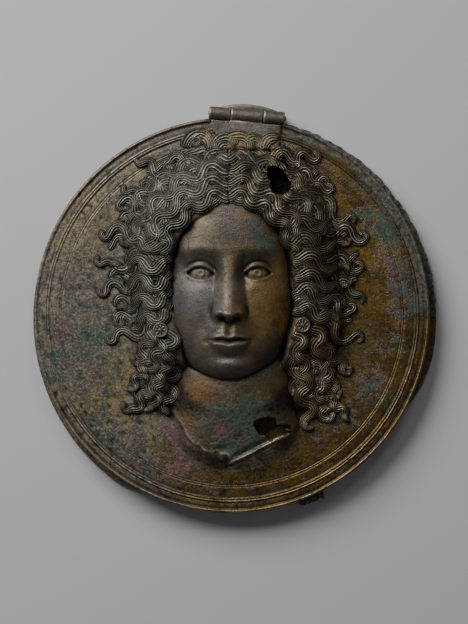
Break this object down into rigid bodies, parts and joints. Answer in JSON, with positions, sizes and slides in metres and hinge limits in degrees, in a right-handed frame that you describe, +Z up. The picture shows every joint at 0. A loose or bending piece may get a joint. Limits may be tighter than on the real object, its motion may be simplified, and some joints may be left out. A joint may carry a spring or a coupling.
{
  "type": "box mirror",
  "caption": "Round bronze box mirror lying shut: a mirror disc under a shallow hinged cover that carries a hollow relief head with wavy, curling hair.",
  "frame": {"origin": "centre of the mirror disc's flat underside", "axes": "+Z up through the cover, +Y towards the hinge, +X to the right when the relief head is upright"},
  "size_m": [0.165, 0.1665, 0.0379],
  "materials": {
    "disc_bronze": "corroded dark bronze, rough",
    "cover_bronze": "brown and golden bronze patina, semi-gloss",
    "relief_bronze": "dark olive bronze patina, worn brighter on the locks",
    "hinge_bronze": "dark bronze patina, satin"
  },
  "bodies": {
    "mirror": {"mirror_disc": "disc_bronze", "disc_hinge_leaf": "hinge_bronze", "hinge_pin": "hinge_bronze"},
    "cover": {"cover": "cover_bronze", "cover_hinge_leaf": "hinge_bronze", "head_relief": "relief_bronze"}
  },
  "joints": [
    {"name": "cover_hinge", "type": "hinge", "parent": "mirror", "child": "cover", "pos_m": [-0.0016, 0.0828, 0.0114], "axis": [-1, 0, 0], "range_deg": [0, 120]}
  ]
}
